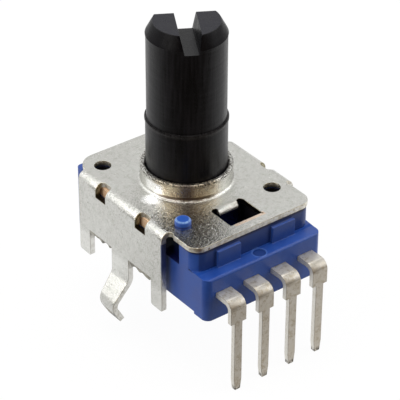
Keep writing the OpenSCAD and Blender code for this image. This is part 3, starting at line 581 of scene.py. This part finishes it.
def housing_plastic():
    """Blue moulding with painted shade under the sheet, in its hollows and in its recesses, painted
    highlights on the peg rims and round the ejector mark, and a darker ejector mark.
    """
    s = Surface("housing_plastic", BLUE, roughness=0.4, specular=0.42)
    cloud = s.ramp(s.noise(**HOUSING_CLOUD), CLOUD_SPAN)
    fine = s.noise(**FINE_GRAIN)
    s.tone = s.mixed(cloud, *BLUE_CLOUDS)
    s.paint(s.ramp(fine, **BLUE_FLECK_RAMP), BLUE_FLECK)
    # Painted shade: the pegs darker towards their foot.
    s.paint(s.ramp(s.z, PEG_HEIGHT), s.mixed(s.ramp(s.z, PEG_TONE_HEIGHT), *PEG_SHADED_TONES))
    # Painted highlight: a pale rim round the peg tops.
    rim_highlight = s.product(s.ramp(s.z, PEG_RIM_HEIGHT), s.ring(PEGS, PEG_RIM, PEG_RIM_WIDTH))
    s.paint(s.product(rim_highlight, s.ramp(fine, **PEG_RIM_RAMP)), PEG_RIM_HIGHLIGHT)
    mark = s.between(s.z, *MARK_HEIGHTS)
    s.paint(s.product(mark, s.ring([MARK], 0.0, MARK_RADIUS)), MARK_FLOOR)
    # Painted highlight: a light ring round the ejector mark's edge.
    s.paint(s.product(mark, s.ring([MARK], MARK_RING, MARK_RING_WIDTH)), MARK_EDGE_HIGHLIGHT)
    for shadow in HOUSING_SHADOWS:
        s.patch(*shadow)
    # Painted shade: the core holes and the walls of the well under the window nearly black.
    hollow_shade = s.product(s.ring(CORES, 0.0, CORE_RADIUS), s.between(s.z, *CORE_HEIGHTS))
    for box in (WELL_WALL, WELL_BACK):
        hollow_shade = s.larger(hollow_shade, s.within(box))
    s.paint(hollow_shade, HOLLOW_PAINTED_SHADE)
    # Painted shade: the side recesses under the flanges dark, navy low down and dark red at the top.
    recess_shade = s.mixed(s.ramp(s.z, RECESS_RISE), RECESS_SHADE_LOW, RECESS_SHADE_MIDDLE)
    recess_shade = s.mixed(s.ramp(s.z, RECESS_RED), recess_shade, RECESS_SHADE_TOP)
    recess = s.larger(*(s.within(box) for box in RECESSES))
    s.paint(recess, recess_shade)
    s.bump(fine, HOUSING_DEPTH)
    dull = s.larger(recess, s.within(WALL_FOOT))
    return s.done(Roughness=s.ramp(cloud, UNIT, *HOUSING_ROUGHNESS),
                  Specular_IOR_Level=s.ramp(dull, UNIT, *HOUSING_SPECULAR))


def shaft_plastic():
    """Black moulding with streaks along its axis, painted shade on its chamfer and top, and painted light on
    its seam.
    """
    s = Surface("shaft_plastic", BLACK, roughness=0.3, specular=0.2)
    drawn, wave, fine = (s.noise(**kind) for kind in (SHAFT_DRAWN, SHAFT_WAVE, FINE_GRAIN))
    s.tone = s.mixed(s.ramp(drawn, STREAK_SPAN), *BLACK_STREAKS)
    s.paint(s.ramp(fine, **BLACK_FLECK_RAMP), BLACK_FLECK)
    chamfer = s.between(s.z, *CHAMFER_HEIGHTS)
    # Painted shade: the chamfer darker.
    s.paint(chamfer, CHAMFER_PAINTED_SHADE)
    seam = s.between(s.z, *SEAM_HEIGHTS)
    # Painted light: the seam paler.
    s.paint(s.product(seam, s.ramp(drawn, **SEAM_RAMP)), SEAM_PAINTED_LIGHT)
    # Painted shade: the shaft's top face darker and bluer.
    s.paint(s.product(s.ramp(s.z, SHAFT_TOP), SHAFT_TOP_SHADE_SHARE), SHAFT_TOP_PAINTED_SHADE)
    for height, depth in zip((wave, drawn, fine), SHAFT_DEPTHS):
        s.bump(height, depth)
    return s.done(Roughness=s.ramp(drawn, CLOUD_SPAN, *SHAFT_ROUGHNESS),
                  Specular_IOR_Level=s.ramp(chamfer, UNIT, *SHAFT_SPECULAR))


def phenolic():
    """Tan board in layers, with painted shade where it lies under the cover's window."""
    s = Surface("phenolic", TAN, roughness=0.55)
    layers = s.noise(**LAYERS)
    s.tone = s.mixed(s.ramp(layers, HALF_SPAN), *TAN_LAYERS)
    # Painted shade: the board nearly black under the window.
    s.paint(s.within(WELL), TAN_PAINTED_SHADE)
    s.bump(layers, LAYER_DEPTH)
    return s.done()


def tinned_brass():
    """Tinned strip with painted light on its left sides, painted brown shade on its fronts, dull edges and
    worn tips.
    """
    s = Surface("tinned_brass", TIN, metallic=0.72, roughness=0.4)
    drawn, blotch = s.noise(**TIN_DRAWN), s.noise(**BLOTCHES)
    s.tone = s.mixed(s.ramp(s.noise(**TIN_CLOUD), HALF_SPAN), *TIN_CLOUDS)
    s.paint(s.ramp(blotch, **BLOTCH_RAMP), TIN_BLOTCH)
    s.paint(s.ramp(drawn, **STREAK_RAMP), TIN_STREAK)
    normal = s.tree.nodes.new("ShaderNodeTexCoord").outputs["Normal"]
    facing = s.node("ShaderNodeSeparateXYZ", Vector=normal).outputs
    # Painted light: faces turned to the left lighter.
    s.paint(s.fall(facing["X"], **FACING_LEFT), TIN_LEFT_PAINTED_LIGHT)
    # Painted shade: faces turned to the front darker and browner.
    s.paint(s.fall(facing["Y"], **FACING_FRONT), TIN_FRONT_PAINTED_SHADE)
    s.paint(s.product(s.mask("cut"), s.ramp(blotch, **TIN_EDGE_RAMP)), TIN_EDGE)
    s.paint(s.product(s.fall(s.z, PIN_WORN), s.ramp(drawn, WORN_SPAN)), TIN_WORN)
    s.bump(blotch, BLOTCH_DEPTH)
    s.bump(drawn, TIN_DRAWN_DEPTH)
    return s.done()


def plain_metal(name, colour, roughness):
    """A metal of one colour, a little uneven."""
    s = Surface(name, colour, metallic=1.0, roughness=roughness)
    s.bump(s.ramp(s.noise(**METAL_MOTTLE), **MOTTLE_RAMP), METAL_DEPTH)
    return s.done()


def printed_ink(name, colour):
    """A printed layer of one colour with a fine grain."""
    s = Surface(name, colour, roughness=0.6)
    s.bump(s.noise(**INK_GRAIN), INK_DEPTH)
    return s.done()


MATERIALS = {
    "plated_steel": plated_steel(),
    "housing_plastic": housing_plastic(),
    "shaft_plastic": shaft_plastic(),
    "phenolic": phenolic(),
    "tinned_brass": tinned_brass(),
    "spring_bronze": plain_metal("spring_bronze", srgb(190, 150, 90), 0.3),
    "rivet_brass": plain_metal("rivet_brass", srgb(200, 170, 110), 0.35),
    "carbon_ink": printed_ink("carbon_ink", srgb(25, 25, 27)),
    "silver_ink": printed_ink("silver_ink", srgb(170, 170, 168)),
}

SLOT_OF = {name: node.material_slots[0].material.name for name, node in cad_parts.items()}
for name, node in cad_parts.items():
    node.material_slots[0].material = MATERIALS[SLOT_OF[name]]


# ---- Pieces -------------------------------------------------------------------------------
# Rounds and the weld in metres; places and lengths on the part in millimetres
COVER_ROUND = 0.06 * MM
HOUSING_ROUND = 0.08 * MM
SHAFT_ROUND = 0.03 * MM
TERMINAL_ROUND = 0.04 * MM
TERMINALS = 4
WELD = 0.0005 * MM
FLAT_ANGLE = math.radians(0.5)
TONGUE = ((-1.0, -5.3, -2.2), (1.0, -4.55, 0.05))
TONGUE_TOP = ((-1.0, -5.3, -1.0), (1.0, -4.55, 0.05))
MARK_BOX = ((-0.6, -9.3, -2.3), (0.6, -8.2, -2.0))
FOLD_ENDS = ((-5.6, 5.35, -0.6), (-5.3, 5.75, 0.1)), ((5.3, 5.35, -0.6), (5.6, 5.75, 0.1))
TIGHT = (TONGUE_TOP, MARK_BOX, *FOLD_ENDS)
COLLAR_FOOT = 3.9
FLANGE_INNER = 5.55
SHEET_THICK = 0.44
CUT_NORMAL = 0.8
FLAT_NORMAL = 0.97
FLANGE_LOW = 4.66
NEAR = 0.01
TORN_LENGTH = 1.2
TORN_CUTS = 18
TORN_SEED = 3.4
TORN_RATE = 2.6
TORN_DEPTH = 0.36
TORN_MEAN = 0.25
RIM = 0.5
SIDE_NORMAL = 0.2
EDGE_ANGLE = math.radians(32)
ROUND_STEPS = 2
ROUND_PROFILE = 0.5
FLAT_WEIGHT = 80


def inside(place, box):
    """Whether a place in millimetres lies in a box."""
    return all(low < v < high for v, low, high in zip(place, *box))


def tight(edge):
    """Whether an edge lies in the tongue's fold, the ejector mark or a fold's end, too narrow for a round."""
    middle = (edge.verts[0].co + edge.verts[1].co) / 2 / MM
    return any(inside(middle, box) for box in TIGHT)


def tear(shape):
    """Wave the sheared lower edges of the flanges, one gap between two legs at a time."""
    gaps = {}
    for edge in shape.edges:
        start, end = (v.co / MM for v in edge.verts)
        level = all(abs(v.z + FLANGE_LOW) < NEAR and abs(v.x) > FLANGE_INNER for v in (start, end))
        if level and abs(start.y - end.y) > TORN_LENGTH:
            gaps.setdefault((start.x > 0, start.y + end.y > 0), []).append(edge)
    for edges in gaps.values():
        ends = {v for e in edges for v in e.verts}
        made = bmesh.ops.subdivide_edges(shape, edges=edges, cuts=TORN_CUTS, use_grid_fill=True)
        for vert in {v for v in made["geom_inner"] if isinstance(v, bmesh.types.BMVert)} - ends:
            seed = math.copysign(TORN_SEED, vert.co.x)
            wave = noise.noise(Vector((seed, vert.co.y / MM * TORN_RATE, TORN_SEED)))
            vert.co.z -= TORN_DEPTH * (TORN_MEAN + wave) * MM


def tongue(face):
    """Whether a face lies on the tongue, whose edges are bright."""
    return inside(face.calc_center_median() / MM, TONGUE)


def softened(node, body, radius, cut=None):
    """A piece in the CAD node's shape, with its sharp edges rounded to that radius.

    Its cut layer is 1 on the faces that cut() names and RIM on the rounds beside them.
    """
    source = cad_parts[node]
    mesh = bpy.data.meshes.new(node + "_shape")
    shape = bmesh.new()
    shape.from_mesh(source.data)
    bmesh.ops.remove_doubles(shape, verts=shape.verts, dist=WELD)
    bmesh.ops.dissolve_limit(shape, angle_limit=FLAT_ANGLE, verts=shape.verts, edges=shape.edges)
    if node == "cover":
        tear(shape)
    edges = [e for e in shape.edges if e.calc_face_angle(0) > EDGE_ANGLE and not tight(e)]
    bmesh.ops.bevel(shape, geom=edges, offset=radius, offset_type="WIDTH", segments=ROUND_STEPS,
                    profile=ROUND_PROFILE, affect="EDGES", clamp_overlap=False)
    for face in shape.faces:
        face.smooth = True
    if cut:
        layer = shape.faces.layers.float.new("cut")
        bare = {face for face in shape.faces if cut(face.calc_center_median() / MM, face.normal)}
        for face in shape.faces:
            beside = max(abs(v) for v in face.normal) < FLAT_NORMAL and not tongue(face)
            beside = beside and any(other in bare for edge in face.edges for other in edge.link_faces)
            face[layer] = 1.0 if face in bare else RIM if beside else 0.0
    shape.to_mesh(mesh)
    shape.free()
    mesh.set_sharp_from_angle(angle=EDGE_ANGLE)
    piece = bpy.data.objects.new(node + "_finished", mesh)
    bpy.context.scene.collection.objects.link(piece)
    weighted = piece.modifiers.new("weighted", "WEIGHTED_NORMAL")
    weighted.keep_sharp = True
    weighted.weight = FLAT_WEIGHT
    mesh.materials.append(MATERIALS[SLOT_OF[node]])
    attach(piece, body)
    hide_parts(node)


def sheared(place, normal):
    """Whether a face of the cover is the cut edge of its sheet."""
    if math.hypot(place.x, place.y) < COLLAR_FOOT:
        return False
    if abs(place.x) > FLANGE_INNER:
        return abs(normal.y) > CUT_NORMAL or (abs(normal.z) > CUT_NORMAL and place.z < -1)
    return abs(normal.z) < 1 - CUT_NORMAL and place.z > -SHEET_THICK


def pin_edge(place, normal):
    """Whether a face rounds an edge between a terminal's side and its front or back."""
    return SIDE_NORMAL < abs(normal.x) < 1 - SIDE_NORMAL / 2


# ---- Studio and camera --------------------------------------------------------------------
class Studio:
    """Node calls for the world and the floor, both bright behind the part and dark before it."""

    def __init__(self, tree):
        self.tree = tree

    def node(self, kind, operation=None, *values):
        made = self.tree.nodes.new(kind)
        if operation:
            made.operation = operation
        for socket, value in zip(made.inputs, values):
            if isinstance(value, bpy.types.NodeSocket):
                self.tree.links.new(value, socket)
            else:
                socket.default_value = value
        return made

    def along(self, place, direction):
        """How far a place or a direction lies along another direction."""
        return self.node("ShaderNodeVectorMath", "DOT_PRODUCT", place, direction).outputs["Value"]

    def ramp(self, value, low, high, out_low=0.0, out_high=1.0):
        made = self.node("ShaderNodeMapRange", None, value, low, high, out_low, out_high)
        made.interpolation_type = "SMOOTHSTEP"
        return made.outputs["Result"]

    def larger(self, first, second):
        return self.node("ShaderNodeMath", "MAXIMUM", first, second).outputs[0]

    def tint(self, share, first, second):
        made = self.tree.nodes.new("ShaderNodeMix")
        made.data_type = "RGBA"
        ends = (made.inputs["Factor"], share), (made.inputs[6], first), (made.inputs[7], second)
        for socket, given in ends:
            if isinstance(given, bpy.types.NodeSocket):
                self.tree.links.new(given, socket)
            else:
                socket.default_value = (*given, 1)
        return made.outputs[2]

    def blend(self, share, first, second):
        return self.node("ShaderNodeMixShader", None, share, first, second).outputs[0]

    def seen(self):
        """One for what the camera itself sees."""
        return self.tree.nodes.new("ShaderNodeLightPath").outputs["Is Camera Ray"]


def studio_world():
    """White to the eye; as a light, a white sheet behind the part and over it, and a dim room before it."""
    world = bpy.data.worlds.new("studio")
    world.use_nodes = True
    bpy.context.scene.world = world
    studio = Studio(world.node_tree)
    way = studio.tree.nodes.new("ShaderNodeTexCoord").outputs["Generated"]
    behind = studio.ramp(studio.along(way, BEHIND), *SHEET_TURN)
    rise = studio.along(way, (0, 0, 1))
    over = studio.ramp(rise, *SHEET_RISE)
    room = studio.tint(studio.ramp(rise, *ROOM_RISE), ROOM_LOW, ROOM)
    room = studio.tint(studio.ramp(studio.along(way, LENS_WAY), *LENS_SPREAD), room, LENS_DARK)
    light = studio.tree.nodes["Background"]
    studio.tree.links.new(studio.tint(studio.larger(behind, over), room, SHEET), light.inputs["Color"])
    light.inputs["Strength"].default_value = 1
    white = studio.tree.nodes.new("ShaderNodeBackground")
    white.inputs["Color"].default_value = (1, 1, 1, 1)
    studio.tree.links.new(studio.blend(studio.seen(), light.outputs[0], white.outputs[0]),
                          studio.tree.nodes["World Output"].inputs["Surface"])


def white_floor(height):
    """A wide table under the pins: white to the eye with the part's shadow, dimmer before the part."""
    material = bpy.data.materials.new("white_floor")
    material.use_nodes = True
    studio = Studio(material.node_tree)
    paper = studio.tree.nodes["Principled BSDF"]
    paper.inputs["Base Color"].default_value = PAPER
    paper.inputs["Roughness"].default_value = PAPER_ROUGHNESS
    paper.inputs["Specular IOR Level"].default_value = PAPER_SPECULAR
    place = studio.tree.nodes.new("ShaderNodeTexCoord").outputs["Object"]
    behind = studio.ramp(studio.along(place, BEHIND), *TABLE_RUN)
    lit = studio.tree.nodes.new("ShaderNodeEmission")
    studio.tree.links.new(studio.tint(behind, TABLE_NEAR, TABLE_FAR), lit.inputs["Color"])
    white = studio.tree.nodes.new("ShaderNodeEmission")
    to_eye = studio.blend(1 - FLOOR_SHADOW, paper.outputs[0], white.outputs[0])
    studio.tree.links.new(studio.blend(studio.seen(), lit.outputs[0], to_eye),
                          studio.tree.nodes["Material Output"].inputs["Surface"])
    half = FLOOR_SIZE / 2
    mesh = bpy.data.meshes.new("floor")
    corners = [(-half, -half, height), (half, -half, height), (half, half, height), (-half, half, height)]
    mesh.from_pydata(corners, [], [(0, 1, 2, 3)])
    mesh.materials.append(material)
    floor = bpy.data.objects.new("floor", mesh)
    bpy.context.scene.collection.objects.link(floor)


def soft_lamp(name, place, size, radiance):
    """A square lamp of that size, turned to the part and as bright to look at as radiance says."""
    lamp = bpy.data.lights.new(name, "AREA")
    lamp.shape = "SQUARE"
    lamp.size = size
    lamp.energy = radiance * math.pi * size * size
    held = bpy.data.objects.new(name, lamp)
    held.location = place
    held.rotation_euler = (-Vector(place)).to_track_quat("-Z", "Y").to_euler()
    bpy.context.scene.collection.objects.link(held)


def place_camera():
    """The camera at the photo's place: yaw from +Y, pitch down and roll, in degrees."""
    yaw, pitch, roll = (math.radians(a) for a in (CAMERA_YAW, CAMERA_PITCH, CAMERA_ROLL))
    ahead = Vector((-math.sin(yaw) * math.cos(pitch), math.cos(yaw) * math.cos(pitch),
                    -math.sin(pitch)))
    level = Vector((math.cos(yaw), math.sin(yaw), 0))
    above = level.cross(ahead)
    right = level * math.cos(roll) + above * math.sin(roll)
    up = above * math.cos(roll) - level * math.sin(roll)
    camera = bpy.data.objects.new("camera", bpy.data.cameras.new("camera"))
    camera.data.lens = CAMERA_LENS
    camera.data.clip_start, camera.data.clip_end = CAMERA_CLIP
    turned = Matrix((right, up, -ahead)).transposed().to_4x4()
    camera.matrix_world = Matrix.Translation(CAMERA_PLACE) @ turned
    bpy.context.scene.collection.objects.link(camera)
    bpy.context.scene.camera = camera


# ---- The scene ----------------------------------------------------------------------------
softened("cover", "base", COVER_ROUND, cut=sheared)
softened("housing", "base", HOUSING_ROUND)
softened("shaft", "rotor", SHAFT_ROUND)
for k in range(1, TERMINALS + 1):
    softened(f"terminal_{k}", "base", TERMINAL_ROUND, cut=pin_edge)

studio_world()
white_floor(cad_box[0].z)
for name, lamp in LAMPS.items():
    soft_lamp(name, **lamp)
place_camera()

scene = bpy.context.scene
scene.view_settings.view_transform = "Standard"
